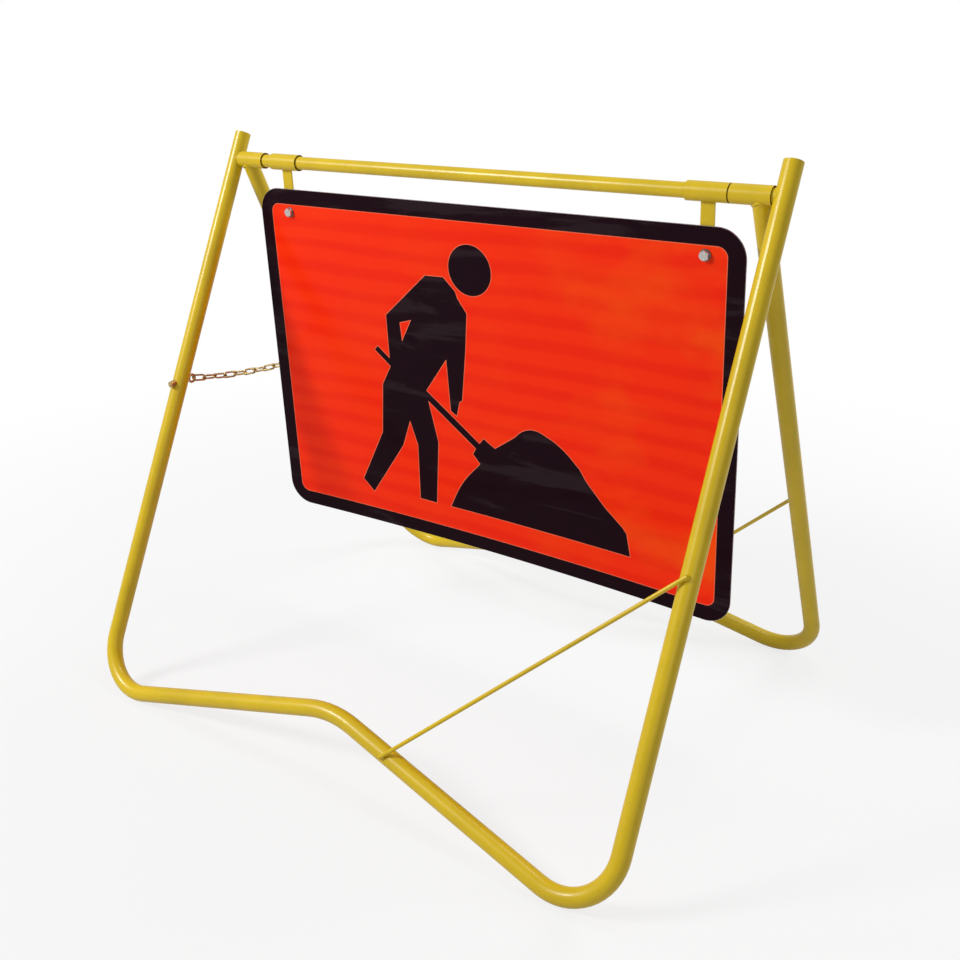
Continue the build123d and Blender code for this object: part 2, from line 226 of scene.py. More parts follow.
class StageSettings(bpy.types.PropertyGroup):
    position: FloatVectorProperty(
        name="Camera", description="Place of the camera", default=(1.06227, -1.45382, 1.066817), unit="LENGTH"
    )
    azimuth: angle("Azimuth", "Camera's turn from the front", 37.749)
    elevation: angle("Elevation", "Camera's downward look", 19.867)
    roll: angle("Roll", "Camera's roll", -1.0638)
    lens: FloatProperty(name="Lens", description="Focal length in millimetres", default=43.716)
    shift: FloatVectorProperty(
        name="Shift", description="Lens shift", default=(0.0435, -0.0286), size=2, precision=4
    )
    room: share("Room Light", "Strength of the even light from all sides", 0.29)
    floor: size("Floor", "Half width of the floor", 14.0)
    floor_drop: size("Floor Drop", "How far the floor lies below the feet", 0.4 * MM)
    white: colour("Floor Colour", "Pale floor", (0.62, 0.62, 0.62))
    shadow_share: share("Plain White", "Share of plain white in the floor under the object", 0.78)
    gloss_share: share("White In Gloss", "Share of plain white that glossy surfaces show", 0.45)
    shadow_reach: FloatVectorProperty(
        name="Shadow Reach",
        description="Where the floor starts to turn, and has turned, plain white",
        default=(0.7, 2.2),
        size=2,
        unit="LENGTH",
    )


def settings():
    """The settings of this object's parts."""
    return bpy.context.scene.sign_frame


# Modelling steps

MERGE_DISTANCE = 0.01 * MM


def fresh():
    """Leaves edit mode and clears the selection."""
    if bpy.context.mode != "OBJECT":
        bpy.ops.object.mode_set(mode="OBJECT")
    bpy.ops.object.select_all(action="DESELECT")


def alone(piece):
    """Selects one piece and nothing else."""
    fresh()
    piece.select_set(True)
    bpy.context.view_layer.objects.active = piece


def open_mesh(piece):
    """Opens one piece in edit mode, with all of its mesh selected."""
    alone(piece)
    bpy.ops.object.mode_set(mode="EDIT")
    bpy.ops.mesh.select_all(action="SELECT")


def close_mesh():
    """Goes back from edit mode."""
    bpy.ops.object.mode_set(mode="OBJECT")


def named(name):
    """The primitive that was just added, under its name."""
    piece = bpy.context.active_object
    piece.name = name
    piece.data.name = name
    return piece


def settle(piece, matrix=None):
    """Puts a piece's place into its mesh, so that its object stays at the origin."""
    if matrix is not None:
        piece.matrix_world = matrix @ piece.matrix_world
        bpy.context.view_layer.update()
    alone(piece)
    bpy.ops.object.transform_apply(location=True, rotation=True, scale=True)
    return piece


def axes_at(place, along, across, out):
    """The matrix that lays X, Y and Z along three directions at a place."""
    return Matrix.Translation(place) @ Matrix((along, across, out)).transposed().to_4x4()


def stand(piece, place, heading):
    """Moves a piece from the origin to its place, with its Z turned to a heading."""
    turned = Vector(heading).to_track_quat("Z", "Y").to_matrix().to_4x4()
    return settle(piece, Matrix.Translation(place) @ turned)


def finish_modifier(piece, kind, **values):
    """Adds a modifier and applies it."""
    alone(piece)
    modifier = piece.modifiers.new(kind.title(), kind)
    for key, value in values.items():
        setattr(modifier, key, value)
    bpy.ops.object.modifier_apply(modifier=modifier.name)
    return piece


def mend(piece):
    """Merges doubled points and turns every face outwards."""
    open_mesh(piece)
    bpy.ops.mesh.remove_doubles(threshold=MERGE_DISTANCE)
    bpy.ops.mesh.normals_make_consistent(inside=False)
    close_mesh()
    return piece


def smooth(piece, degrees):
    """Shades a piece smooth, but for the edges sharper than an angle."""
    alone(piece)
    bpy.ops.object.shade_smooth_by_angle(angle=radians(degrees))
    return piece


def joined(pieces, name):
    """Joins pieces into one."""
    fresh()
    for piece in pieces:
        piece.select_set(True)
    bpy.context.view_layer.objects.active = pieces[0]
    bpy.ops.object.join()
    return named(name)


def meshed(drawing, name):
    """A drawn curve, made a mesh."""
    piece = bpy.data.objects.new(name, drawing)
    bpy.context.scene.collection.objects.link(piece)
    alone(piece)
    bpy.ops.object.convert(target="MESH")
    return named(name)


def hand_over(piece, body, slot, material, *nodes):
    """Gives a finished piece its material, its body and the nodes it stands for; the slot is not used."""
    piece.data.materials.clear()
    piece.data.materials.append(material)
    if nodes:
        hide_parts(*nodes)
    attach(piece, body)
    return piece


def drawn_wire(name, radius, sides, start, heading, steps, closed=False):
    """A wire drawn from its start by runs and by turns of (centre, axis, angle, count).

    Blender's spin turns clockwise about its axis, so each angle is given to it with its sign changed.
    """
    fresh()
    bpy.ops.mesh.primitive_circle_add(
        vertices=sides,
        radius=radius,
        location=start,
        rotation=Vector(heading).to_track_quat("Z", "Y").to_euler(),
        fill_type="NOTHING" if closed else "NGON",
    )
    wire = named(name)
    open_mesh(wire)
    if not closed:
        bpy.ops.mesh.duplicate()
    for step in steps:
        if isinstance(step, Vector):
            bpy.ops.mesh.extrude_region_move(TRANSFORM_OT_translate={"value": step})
        else:
            centre, axis, turn, count = step
            bpy.ops.mesh.spin(steps=count, angle=-turn, center=centre, axis=axis)
    close_mesh()
    return smooth(mend(wire), 50)


def lathe(name, profile, place, heading, sides=48):
    """A turned piece: a profile of (radius, height) drawn point by point and spun about its axis."""
    points = [Vector((radius, 0, height)) for radius, height in profile]
    fresh()
    bpy.ops.mesh.primitive_circle_add(vertices=3, radius=MM)
    piece = named(name)
    open_mesh(piece)
    bpy.ops.mesh.merge(type="CENTER")
    bpy.ops.transform.translate(value=points[0])
    for last, point in zip(points, points[1:]):
        bpy.ops.mesh.extrude_region_move(TRANSFORM_OT_translate={"value": point - last})
    bpy.ops.mesh.select_all(action="SELECT")
    bpy.ops.mesh.spin(steps=sides, angle=2 * pi, center=(0, 0, 0), axis=(0, 0, 1))
    close_mesh()
    return stand(smooth(mend(piece), 35), place, heading)


# Node materials


def new_material(name):
    """A node material and its main shader."""
    material = bpy.data.materials.new(name)
    material.use_nodes = True
    return material, material.node_tree, material.node_tree.nodes["Principled BSDF"]


def feed(tree, value, socket):
    """Links a socket to another one, or gives it a plain value."""
    if isinstance(value, bpy.types.NodeSocket):
        tree.links.new(value, socket)
    else:
        socket.default_value = value


def dress(tree, shader, values):
    """Sets a shader's sockets by name."""
    for name, value in values.items():
        feed(tree, value, shader.inputs[name])


def opaque(value):
    """A colour or grey level with its fourth channel; a socket is passed on as it is."""
    if isinstance(value, bpy.types.NodeSocket):
        return value
    if isinstance(value, float):
        value = (value, value, value)
    return (*value, 1)


def shade(value, level):
    """A colour at a part of its brightness."""
    return tuple(channel * level for channel in value)


def object_pattern(tree, kind, scale, stretch=(1, 1, 1), **values):
    """A texture on object coordinates; values set its sockets by name."""
    place = tree.nodes.new("ShaderNodeTexCoord")
    mapping = tree.nodes.new("ShaderNodeMapping")
    mapping.inputs["Scale"].default_value = stretch
    texture = tree.nodes.new(kind)
    texture.inputs["Scale"].default_value = scale
    for key, value in values.items():
        texture.inputs[key.replace("_", " ").title()].default_value = value
    tree.links.new(place.outputs["Object"], mapping.inputs["Vector"])
    tree.links.new(mapping.outputs["Vector"], texture.inputs["Vector"])
    return texture


def noise(tree, scale, stretch=(1, 1, 1), **values):
    """The grey level of a noise on object coordinates."""
    return object_pattern(tree, "ShaderNodeTexNoise", scale, stretch, **values).outputs["Fac"]


def ramp(tree, source, low, high, first, second):
    """Two colours or grey levels spread over part of a pattern's range."""
    node = tree.nodes.new("ShaderNodeValToRGB")
    start, end = node.color_ramp.elements
    start.position, end.position = low, high
    start.color, end.color = opaque(first), opaque(second)
    tree.links.new(source, node.inputs["Fac"])
    return node.outputs["Color"]


def blended(tree, amount, first, second, mode="MIX"):
    """Two colours mixed by an amount; each may be a socket or a plain colour."""
    node = tree.nodes.new("ShaderNodeMix")
    node.data_type = "RGBA"
    node.blend_type = mode
    for socket, value in ((0, amount), (6, opaque(first)), (7, opaque(second))):
        feed(tree, value, node.inputs[socket])
    return node.outputs[2]


def calculated(tree, operation, *values):
    """The result of a math node, kept between 0 and 1."""
    node = tree.nodes.new("ShaderNodeMath")
    node.operation = operation
    node.use_clamp = True
    for socket, value in zip(node.inputs, values):
        feed(tree, value, socket)
    return node.outputs[0]


def bumped(tree, shader, height, strength, distance, under=None):
    """Relief from a height pattern, on top of another relief where one is given."""
    node = tree.nodes.new("ShaderNodeBump")
    node.inputs["Strength"].default_value = strength
    node.inputs["Distance"].default_value = distance
    tree.links.new(height, node.inputs["Height"])
    if under is not None:
        tree.links.new(under, node.inputs["Normal"])
    tree.links.new(node.outputs["Normal"], shader.inputs["Normal"])
    return node.outputs["Normal"]


def powder_coat():
    """Glossy yellow powder coat: orange peel, faint mottling, and rubbed and dusty places."""
    part = settings().frame
    material, tree, shader = new_material("yellow_powder_coat")
    mottle = noise(tree, 9.0, detail=5.0, roughness=0.6)
    rubbed = noise(tree, 42.0, detail=8.0, roughness=0.72)
    specks = noise(tree, 260.0, detail=2.0)
    base = blended(tree, ramp(tree, mottle, 0.35, 0.7, 0.0, 1.0), part.paint, shade(part.paint, 0.82))
    base = blended(tree, ramp(tree, rubbed, 0.66, 0.74, 0.0, 0.35), base, part.primer)
    base = blended(tree, ramp(tree, specks, 0.735, 0.755, 0.0, 0.55), base, part.speck)
    dress(tree, shader, {
        "Base Color": base,
        "Roughness": ramp(tree, mottle, 0.3, 0.75, 0.3, 0.4),
        "Specular IOR Level": 0.3,
        "Coat Weight": 0.1,
        "Coat Roughness": 0.12,
    })
    ripple = bumped(tree, shader, noise(tree, 95.0, detail=1.0), 0.12, 0.6 * MM)
    bumped(tree, shader, noise(tree, 520.0, detail=2.0), 0.16, 0.12 * MM, ripple)
    return material


def red_film():
    """Glossy reflective film: faint ripples with painted shade between them, a fine cell pattern, and paler
    patches of painted reflection, more of them to the right.
    """
    sign = settings().sign
    material, tree, shader = new_material("red_reflective_film")
    wave = object_pattern(
        tree, "ShaderNodeTexWave", 8.0, (0.25, 1, 1), distortion=3.0, detail=3.0, detail_scale=1.2
    )
    wave.bands_direction = "Z"
    bands = wave.outputs["Fac"]
    cells = object_pattern(tree, "ShaderNodeTexVoronoi", 340.0).outputs["Distance"]
    reflection_patches = noise(tree, 5.0, (1, 1, 1.6), detail=4.0, roughness=0.55)
    place = tree.nodes.new("ShaderNodeTexCoord")
    parts = tree.nodes.new("ShaderNodeSeparateXYZ")
    tree.links.new(place.outputs["Object"], parts.inputs[0])
    # Paler patches of painted reflection, stronger towards the right
    to_right = ramp(tree, parts.outputs["X"], 0.0, 0.42, 0.15, 1.0)
    reflection_mask = blended(tree, 1.0, ramp(tree, reflection_patches, 0.46, 0.66, 0.0, 0.85), to_right, "MULTIPLY")
    # The ripple bands darken the film between ripples as painted shade
    base = blended(tree, ramp(tree, bands, 0.3, 0.9, 0.0, 0.65), sign.red, sign.red_ripple_shade)
    dress(tree, shader, {
        "Base Color": blended(tree, reflection_mask, base, sign.red_reflection),
        "Roughness": 0.16,
        "Specular IOR Level": 0.07,
    })
    ripple = bumped(tree, shader, bands, 0.1, 0.5 * MM)
    bumped(tree, shader, cells, 0.05, 0.05 * MM, ripple)
    return material


def rim_highlight_film():
    """A painted highlight: the paler rim along the edges of the black film."""
    pale = settings().sign.pale
    material, tree, shader = new_material("painted_rim_highlight")
    grain = noise(tree, 180.0, detail=3.0)
    dress(tree, shader, {
        "Base Color": ramp(tree, grain, 0.3, 0.7, pale, shade(pale, 0.8)),
        "Roughness": 0.35,
        "Specular IOR Level": 0.3,
    })
    return material


def black_film():
    """Glossy purplish black film with paler streaks of painted reflection and a slightly uneven lie."""
    sign = settings().sign
    material, tree, shader = new_material("black_overlay_film")
    reflection_streaks = noise(tree, 7.0, (0.45, 1, 3.2), detail=6.0, roughness=0.6, distortion=0.5)
    dress(tree, shader, {
        "Base Color": blended(tree, ramp(tree, reflection_streaks, 0.54, 0.6, 0.0, 0.75), sign.black, sign.black_reflection),
        "Roughness": ramp(tree, reflection_streaks, 0.45, 0.6, 0.1, 0.24),
        "Specular IOR Level": 0.025,
    })
    bumped(tree, shader, noise(tree, 14.0, (0.5, 1, 2.0), detail=2.0), 0.14, 1.0 * MM)
    return material


def sheet_metal():
    """Mill finish aluminium, with rolling lines along the sheet."""
    material, tree, shader = new_material("mill_aluminium")
    lines = noise(tree, 60.0, (0.05, 1, 14), detail=4.0, roughness=0.7)
    stains = ramp(tree, noise(tree, 6.0, detail=5.0), 0.5, 0.75, 0.0, 0.3)
    tone = ramp(tree, lines, 0.3, 0.7, (0.60, 0.60, 0.59), (0.73, 0.73, 0.71))
    dress(tree, shader, {
        "Base Color": blended(tree, stains, tone, (0.5, 0.49, 0.46)),
        "Metallic": 1.0,
        "Roughness": ramp(tree, lines, 0.3, 0.7, 0.34, 0.5),
    })
    bumped(tree, shader, lines, 0.1, 0.05 * MM)
    return material


def plated_metal(name, bright, dull, low, high, gloss):
    """Zinc plate that is brighter where it is rubbed and dull in its hollows."""
    material, tree, shader = new_material(name)
    cloud = noise(tree, 170.0, detail=6.0, roughness=0.65)
    dress(tree, shader, {
        "Base Color": ramp(tree, cloud, low, high, bright, dull),
        "Metallic": 1.0,
        "Roughness": ramp(tree, cloud, 0.3, 0.7, gloss, gloss + 0.18),
    })
    bumped(tree, shader, noise(tree, 900.0, detail=3.0), 0.15, 0.05 * MM)
    return material


def gap_shade_and_rust():
    """Painted shade of the gap where a sleeve turns on the bar: a dark steel colour with a little rust."""
    sleeve = settings().sleeves
    material, tree, shader = new_material("painted_gap_shade_and_rust")
    cloud = noise(tree, 220.0, detail=5.0, roughness=0.7)
    dress(tree, shader, {
        "Base Color": ramp(tree, cloud, 0.4, 0.7, sleeve.gap_shade, sleeve.rust),
        "Roughness": 0.6,
        "Specular IOR Level": 0.2,
    })
    bumped(tree, shader, cloud, 0.3, 0.1 * MM)
    return material


def nylon():
    """The ring of a lock nut."""
    material, tree, shader = new_material("lock_ring_nylon")
    grain = noise(tree, 700.0, detail=2.0)
    dress(tree, shader, {
        "Base Color": ramp(tree, grain, 0.3, 0.7, (0.62, 0.62, 0.58), (0.7, 0.7, 0.66)),
        "Roughness": 0.45,
    })
    return material


# The bowed sign plate and its films, drawn upright and then hung from the bar


def bow_depth(x, down):
    """How far back the plate lies, at x from its middle and down from the bar."""
    sign = settings().sign
    half = sign.width / 2 + sign.bow_margin
    radius = (half**2 + sign.bow**2) / (2 * sign.bow)
    start = sign.below_bar + sign.flat_band
    run = sign.below_bar + sign.height + sign.bow_margin - start
    reached = max(0.0, (down - start) / run)
    return reached * (sqrt(radius**2 - x**2) - radius + sign.bow)


def cut_along(piece, spacing, reach, normal):
    """Cuts a flat piece along evenly spaced lines square to a direction."""
    open_mesh(piece)
    count = int(reach / spacing)
    for index in range(-count, count + 1):
        bpy.ops.mesh.select_all(action="SELECT")
        bpy.ops.mesh.bisect(plane_co=Vector(normal) * index * spacing, plane_no=normal)
    close_mesh()


def hang_sheet(piece, front, thickness):
    """Thickens a flat drawing about the plate's middle, bows it and hangs it in its place."""
    sign = settings().sign
    middle_down = sign.below_bar + sign.height / 2
    cut_along(piece, sign.score, sign.width / 2, (1, 0, 0))
    cut_along(piece, sign.score, sign.height / 2, (0, 0, 1))
    open_mesh(mend(piece))
    bpy.ops.mesh.extrude_region_move(TRANSFORM_OT_translate={"value": (0, -thickness, 0)})
    close_mesh()
    mend(piece)
    for point in piece.data.vertices:
        point.co.y += bow_depth(point.co.x, middle_down - point.co.z) - front + thickness
    settle(piece, Matrix.Translation((SIGN_SHIFT, 0, -middle_down)))
    return settle(piece, Matrix.Translation(BAR) @ Matrix.Rotation(sign.tilt, 4, "X"))


def rounded_sheet(name, width, height, corner):
    """A flat upright sheet with rounded corners."""
    fresh()
    bpy.ops.mesh.primitive_plane_add(size=1, rotation=(pi / 2, 0, 0))
    sheet = named(name)
    sheet.scale = (width, height, 1)
    open_mesh(settle(sheet))
    bpy.ops.mesh.bevel(offset=corner, segments=12, affect="VERTICES", clamp_overlap=False)
    close_mesh()
    return sheet


def ring_only(sheet, thickness):
    """Insets a sheet and keeps only the ring that is left around the inset face."""
    open_mesh(sheet)
    bpy.ops.mesh.inset(thickness=thickness)
    bpy.ops.mesh.delete(type="FACE")
    close_mesh()
    return sheet


# The road-worker figure in millimetres: x from the plate's middle, then the distance down from its top
# The head's radius comes last; a point marked True is rounded, and every other one is a corner

HEAD = (-4.0, 102.5, 41.0)
BODY = (
    (-93.5, 120), (-57, 119), (-35, 140), (-31.5, 151), (-15, 174), (-22, 236), (-35.5, 326),
    (-41.5, 330), (-49, 356), (-60.5, 349), (-62.5, 258), (-110, 321), (-5.5, 398.5), (3.5, 387.5),
    (25.5, 401), (65, 373.5), (82, 359, True), (103, 352.5, True), (128, 359, True),
    (155, 373, True), (187, 401), (200, 421), (233, 457), (264, 483.5), (271.5, 492.5), (278, 531),
    (-75, 531), (-47, 481, True), (-6.5, 435.5), (-20, 420), (-13.5, 408.5), (-107.5, 339),
    (-92.5, 413), (-106, 531.5), (-142, 531), (-137.5, 427), (-151, 383.5), (-171, 434),
    (-248, 540.5), (-270, 519), (-215, 417), (-204.5, 325), (-183.5, 289), (-215.5, 263.5),
    (-208.5, 256), (-184, 275), (-183.5, 197.5),
)
ARM_GAP = ((-155.5, 207), (-153.5, 240), (-130, 199.5))


def flat_body(name, grow):
    """The figure's body and pile, a flat upright piece whose outlines are grown by a little."""
    sign = settings().sign
    drawing = bpy.data.curves.new(name, "CURVE")
    drawing.dimensions = "2D"
    drawing.fill_mode = "BOTH"
    drawing.resolution_u = 8
    for outline in (BODY, ARM_GAP):
        spline = drawing.splines.new("BEZIER")
        spline.bezier_points.add(len(outline) - 1)
        spline.use_cyclic_u = True
        for knot, (x, down, *rounded) in zip(spline.bezier_points, outline):
            knot.co = (x * MM, sign.height / 2 - down * MM, 0)
            knot.handle_left_type = knot.handle_right_type = "AUTO" if rounded else "VECTOR"
    drawing.offset = grow
    return settle(meshed(drawing, name), Matrix.Rotation(pi / 2, 4, "X"))


def flat_head(name, grow):
    """The figure's head, a flat upright disc grown by a little."""
    x, down, radius = HEAD
    fresh()
    bpy.ops.mesh.primitive_circle_add(
        vertices=72,
        radius=radius * MM + grow,
        fill_type="NGON",
        location=(x * MM, 0, settings().sign.height / 2 - down * MM),
        rotation=(pi / 2, 0, 0),
    )
    return settle(named(name))


def sign_point(x, down, forward):
    """A place on the hanging plate's own plane."""
    tilt = settings().sign.tilt
    return BAR + Matrix.Rotation(tilt, 3, "X") @ Vector((x, -forward, -down))


# Fixings


def hexagon(name, flats, height, place, heading, chamfer):
    """A hexagon head or nut with its outer corners turned off, standing along a heading."""
    edge = 0.18 * MM
    fresh()
    bpy.ops.mesh.primitive_cylinder_add(
        vertices=6, radius=flats / sqrt(3), depth=height, location=(0, 0, height / 2)
    )
    head = settle(named(name))
    fresh()
    bpy.ops.mesh.primitive_cone_add(
        vertices=48,
        radius1=flats / 2 + height + chamfer,
        radius2=flats / 2 - chamfer,
        depth=height + 2 * chamfer,
        location=(0, 0, height / 2),
    )
    turning = settle(named("turning_tool"))
    finish_modifier(head, "BOOLEAN", operation="INTERSECT", object=turning, solver="EXACT")
    bpy.data.objects.remove(turning)
    finish_modifier(head, "BEVEL", width=edge, segments=2, limit_method="ANGLE", angle_limit=radians(25))
    return stand(smooth(head, 30), place, heading)


def threaded(radius, start, end, pitch, depth, tip, clear):
    """Profile points of a rod's thread, which stops clear of its chamfered end."""
    points = []
    place = start
    while place < end - clear:
        points += [(radius, place), (radius - depth, place + pitch / 2)]
        place += pitch
    return [*points, (radius - tip, end), (0, end)]


# The chain's hanging curve


def chain_line(distance):
    """Point on the chain's curve, at a distance along its chord."""
    chain = settings().chain
    start = EYE + Vector((0, chain.first, 0))
    chord = Vector(chain.end) - start
    reached = distance / chord.length
    return start + chord * reached - Vector((0, 0, 4 * chain.sag * reached * (1 - reached)))


def link_turn(index):
    """A link's turn about the chain: a slant that changes near both ends, and every other link across."""
    chain = settings().chain
    at_eye = max(0.0, 1 - index / chain.twisted)
    at_hook = max(0.0, 1 - (chain.links - 1 - index) / chain.twisted)
    slant = chain.slant + (chain.eye_slant - chain.slant) * at_eye
    slant += (chain.hook_slant - chain.slant) * at_hook
    return slant - (pi / 2) * (index % 2)


def link_place(index):
    """Place of one link: X along the chain, Z square to the link's flat side."""
    chain = settings().chain
    length = chain.inner_length + chain.wire
    middle = length / 2 + index * (chain.inner_length - chain.play)
    behind, ahead = chain_line(middle - length / 2), chain_line(middle + length / 2)
    along = (ahead - behind).normalized()
    side = along.cross(Vector((0, 0, 1))).normalized()
    turn = link_turn(index)
    normal = Vector((0, 0, 1)) * cos(turn) - side * sin(turn)
    normal = (normal - along * normal.dot(along)).normalized()
    return axes_at((ahead + behind) / 2, along, normal.cross(along), normal)


# Places on the leaning frames, and their welds


def leaning(x, down, forward, rear=False):
    """A place down a leaning frame, moved off it to its outer side."""
    lean = settings().frame.lean * (1 if rear else -1)
    return BAR + Matrix.Rotation(lean, 3, "X") @ Vector((x, forward if rear else -forward, -down))


def rail_down(half_spacing, x):
    """Distance down a frame of its bottom rail's centre line at x."""
    part = settings().frame
    turn = pi / 2 + atan2(part.rail_rise, half_spacing)
    corner = part.leg_length - part.foot_bend + part.foot_bend * tan(turn / 2)
    return corner - part.rail_rise * (1 - abs(x) / half_spacing)


def weld_bead(name, points, radius, closed=True):
    """A rippled weld bead laid along a seam, thinner at its ends where it isn't closed."""
    ripple, ripple_step, thinned = 0.16, 2.4, 0.35
    seam = bpy.data.curves.new(name, "CURVE")
    seam.dimensions = "3D"
    seam.bevel_depth = radius
    seam.bevel_resolution = 3
    seam.use_fill_caps = not closed
    spline = seam.splines.new("POLY")
    spline.points.add(len(points) - 1)
    for index, (knot, point) in enumerate(zip(spline.points, points)):
        knot.co = (*point, 1)
        knot.radius = 1.0 + ripple * sin(index * ripple_step)
        if not closed and index in (0, len(points) - 1):
            knot.radius -= thinned
    spline.use_cyclic_u = closed
    return smooth(mend(meshed(seam, name)), 60)


# Operators

# Each lamp's name, place, width in metres and power in watts
LAMPS = (
    ("key_light", (-2.3, -2.8, 2.9), 1.0, 146),
    ("fill_light", (2.6, -2.6, 1.5), 1.4, 9),
    ("top_light", (0.4, 0.6, 3.6), 1.0, 26),
    ("back_light", (1.4, 3.2, 2.2), 1.6, 75),
)
LAMPS_AIM = Vector((0, 0, 0.45))


class SIGNFRAME_OT_stage(bpy.types.Operator):
    """Lays the floor and sets the lights and the camera"""

    bl_idname = "signframe.stage"
    bl_label = "Stage"

    def execute(self, context):
        context.scene.view_settings.view_transform = "Standard"
        self.lay_floor()
        self.light_room(context.scene)
        for name, place, width, watts in LAMPS:
            self.add_lamp(name, place, width, watts)
        self.add_camera(context.scene)
        return {"FINISHED"}

    def lay_floor(self):
        """A pale floor that turns plain white away from the object."""
        stage = settings().stage
        fresh()
        bpy.ops.mesh.primitive_plane_add(size=2 * stage.floor, location=(0, 0, -stage.floor_drop))
        floor = settle(named("floor"))
        material, tree, shader = new_material("pale_floor")
        dress(tree, shader, {
            "Base Color": opaque(stage.white), "Roughness": 0.9, "Specular IOR Level": 0.0,
        })
        place = tree.nodes.new("ShaderNodeTexCoord")
        distance = tree.nodes.new("ShaderNodeVectorMath")
        distance.operation = "LENGTH"
        tree.links.new(place.outputs["Object"], distance.inputs[0])
        spread = tree.nodes.new("ShaderNodeMapRange")
        spread.interpolation_type = "SMOOTHSTEP"
        values = (distance.outputs["Value"], *stage.shadow_reach, stage.shadow_share, 1.0)
        for socket, value in zip(spread.inputs, values):
            feed(tree, value, socket)
        self.shine(tree, shader, tree.nodes["Material Output"], spread.outputs[0])
        floor.data.materials.append(material)

    def shine(self, tree, shader, output, amount):
        """Mixes plain white light into what the camera, gloss and glass see."""
        rays = tree.nodes.new("ShaderNodeLightPath").outputs
        seen = calculated(tree, "MAXIMUM", rays["Is Camera Ray"], rays["Is Transmission Ray"])
        gloss_share = settings().stage.gloss_share
        seen = calculated(tree, "MULTIPLY_ADD", rays["Is Glossy Ray"], gloss_share, seen)
        white = tree.nodes.new("ShaderNodeEmission")
        mix = tree.nodes.new("ShaderNodeMixShader")
        values = (calculated(tree, "MULTIPLY", seen, amount), shader.outputs[0], white.outputs[0])
        for socket, value in zip(mix.inputs, values):
            feed(tree, value, socket)
        tree.links.new(mix.outputs[0], output.inputs["Surface"])

    def light_room(self, scene):
        """Even light from all sides."""
        world = bpy.data.worlds.new("soft_room")
        scene.world = world
        world.use_nodes = True
        tree = world.node_tree
        room = tree.nodes["Background"]
        room.inputs["Color"].default_value = (1, 1, 1, 1)
        room.inputs["Strength"].default_value = settings().stage.room
        self.shine(tree, room, tree.nodes["World Output"], 1.0)

    def add_lamp(self, name, place, width, watts):
        """A square lamp aimed at the object."""
        fresh()
        bpy.ops.object.light_add(type="AREA", location=place)
        lamp = bpy.context.active_object
        lamp.name = name
        lamp.data.size = width
        lamp.data.energy = watts
        lamp.rotation_euler = (LAMPS_AIM - Vector(place)).to_track_quat("-Z", "Y").to_euler()

    def add_camera(self, scene):
        """The camera where the photograph was taken from."""
        stage = settings().stage
        fresh()
        bpy.ops.object.camera_add(location=stage.position)
        camera = bpy.context.active_object
        camera.name = "photo_camera"
        turned = (
            Matrix.Rotation(stage.azimuth, 3, "Z")
            @ Matrix.Rotation(pi / 2 - stage.elevation, 3, "X")
            @ Matrix.Rotation(stage.roll, 3, "Z")
        )
        camera.rotation_euler = turned.to_euler()
        camera.data.sensor_width = 36
        camera.data.lens = stage.lens
        camera.data.shift_x, camera.data.shift_y = stage.shift
        scene.camera = camera


PAINTED = (
    "front_frame", "crossbar", "front_stop_rod", "rear_frame", "rear_sleeves",
    "rear_stop_rod", "hanger_sleeves", "hanger_strap_left", "hanger_strap_right",
)
# Half lengths of the blob of weld at a rod's end, and how far welds stand off a tube
ROD_WELD = Vector((4.6, 4.2, 2.6)) * MM
WELD_LIFT = 0.6 * MM


